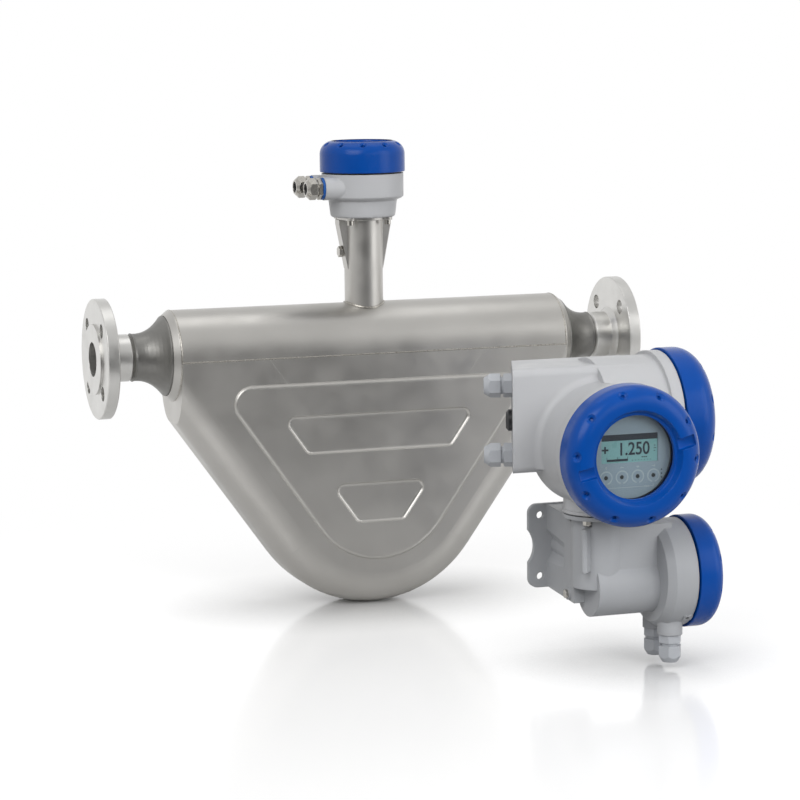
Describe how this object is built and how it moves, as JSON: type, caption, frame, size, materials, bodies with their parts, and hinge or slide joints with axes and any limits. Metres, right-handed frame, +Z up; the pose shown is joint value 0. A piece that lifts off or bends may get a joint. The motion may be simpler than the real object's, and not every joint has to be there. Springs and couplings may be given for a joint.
{
  "type": "coriolis flow meter",
  "caption": "Flanged coriolis flow meter: V-shaped pressed steel casing with junction box, and a separate signal converter with round display window on a wall base.",
  "frame": {"origin": "centre of the inlet flange's sealing face", "axes": "+X along the pipe in the flow direction, +Z up towards the junction box, -Y towards the signal converter"},
  "size_m": [0.71, 0.676, 0.5898],
  "materials": {
    "stainless_casing": "satin, pickled stainless steel sheet",
    "machined_flange": "turned, fine tool marks",
    "measuring_tube": "drawn tube",
    "tube_fittings": "machined",
    "coil_copper": "lacquered winding",
    "nickel_plated": "nickel plate",
    "light_grey_paint": "semi-gloss powder coat on die-cast aluminium",
    "base_grey_paint": "semi-gloss powder coat on die-cast aluminium",
    "blue_paint": "gloss coat on die-cast aluminium",
    "blue_rubber": "matt",
    "black_rubber": "matt",
    "gland_plastic": "fine satin",
    "black_plastic": "satin",
    "terminal_green": "satin",
    "sensor_white": "matt",
    "window_glass": "clear",
    "faceplate_grey": "satin",
    "lcd": "gloss"
  },
  "bodies": {
    "meter": {"inlet_flange": "machined_flange", "outlet_flange": "machined_flange", "inlet_manifold": "machined_flange", "outlet_manifold": "machined_flange", "inlet_end_ring": "stainless_casing", "outlet_end_ring": "stainless_casing", "casing_top_shell": "stainless_casing", "casing_front_pan": "stainless_casing", "casing_rear_pan": "stainless_casing", "front_measuring_tube": "measuring_tube", "rear_measuring_tube": "measuring_tube", "tube_brace_plates": "tube_fittings", "drive_coil": "coil_copper", "drive_magnet": "tube_fittings", "pickoff_coils": "coil_copper", "pickoff_magnets": "tube_fittings", "temperature_sensor": "sensor_white", "cable_feedthrough": "tube_fittings", "stem": "stainless_casing", "stem_screws": "nickel_plated", "stem_plug": "nickel_plated", "junction_box": "light_grey_paint", "junction_box_terminals": "terminal_green", "sensor_gland_seals": "blue_rubber", "sensor_gland_bodies": "nickel_plated", "sensor_gland_nuts": "nickel_plated", "sensor_gland_inserts": "black_rubber", "converter_housing": "light_grey_paint", "display_bezel": "faceplate_grey", "lcd_panel": "lcd", "display_board": "terminal_green", "electronics_module": "black_plastic", "converter_terminals": "terminal_green", "converter_gland_bodies": "gland_plastic", "converter_gland_nuts": "gland_plastic", "converter_gland_inserts": "black_rubber", "blind_plug": "black_plastic", "joint_gasket": "black_rubber", "converter_screws": "nickel_plated", "base_housing": "base_grey_paint", "base_terminals": "terminal_green", "base_gland_bodies": "gland_plastic", "base_gland_nuts": "gland_plastic", "base_gland_inserts": "black_rubber", "cover_lock_screws": "black_plastic", "earth_screws": "nickel_plated"},
    "junction_box_cover_ring": {"junction_box_seal": "black_rubber"},
    "junction_box_cover_cap": {"junction_box_cover": "blue_paint"},
    "display_cover_ring": {"display_cover_seal": "black_rubber"},
    "display_cover_cap": {"display_cover": "blue_paint", "display_window": "window_glass", "window_ring": "black_plastic"},
    "side_cover_ring": {"side_cover_seal": "black_rubber"},
    "side_cover_cap": {"side_cover": "blue_paint"},
    "base_cover_ring": {"base_cover_seal": "black_rubber"},
    "base_cover_cap": {"base_cover": "blue_paint"}
  },
  "joints": [
    {"name": "junction_box_cover_travel", "type": "slide", "parent": "meter", "child": "junction_box_cover_ring", "axis": [0, 0, 1], "range_m": [0, 0.01575]},
    {"name": "junction_box_cover_turn", "type": "hinge", "parent": "junction_box_cover_ring", "child": "junction_box_cover_cap", "pos_m": [0.355, 0, 0.221], "axis": [0, 0, 1], "range_deg": [0, 1890]},
    {"name": "display_cover_travel", "type": "slide", "parent": "meter", "child": "display_cover_ring", "axis": [0, -1, 0], "range_m": [0, 0.01575]},
    {"name": "display_cover_turn", "type": "hinge", "parent": "display_cover_ring", "child": "display_cover_cap", "pos_m": [0.475, -0.563, -0.066], "axis": [0, -1, 0], "range_deg": [0, 1890]},
    {"name": "side_cover_travel", "type": "slide", "parent": "meter", "child": "side_cover_ring", "axis": [1, 0, 0], "range_m": [0, 0.01575]},
    {"name": "side_cover_turn", "type": "hinge", "parent": "side_cover_ring", "child": "side_cover_cap", "pos_m": [0.565, -0.45, -0.044], "axis": [1, 0, 0], "range_deg": [0, 1890]},
    {"name": "base_cover_travel", "type": "slide", "parent": "meter", "child": "base_cover_ring", "axis": [1, 0, 0], "range_m": [0, 0.01575]},
    {"name": "base_cover_turn", "type": "hinge", "parent": "base_cover_ring", "child": "base_cover_cap", "pos_m": [0.573, -0.485, -0.22], "axis": [1, 0, 0], "range_deg": [0, 1890]}
  ],
  "couplings": [
    {"joint": "junction_box_cover_travel", "follows": "junction_box_cover_turn", "m_per_rad": 0.00047746},
    {"joint": "display_cover_travel", "follows": "display_cover_turn", "m_per_rad": 0.00047746},
    {"joint": "side_cover_travel", "follows": "side_cover_turn", "m_per_rad": 0.00047746},
    {"joint": "base_cover_travel", "follows": "base_cover_turn", "m_per_rad": 0.00047746}
  ]
}
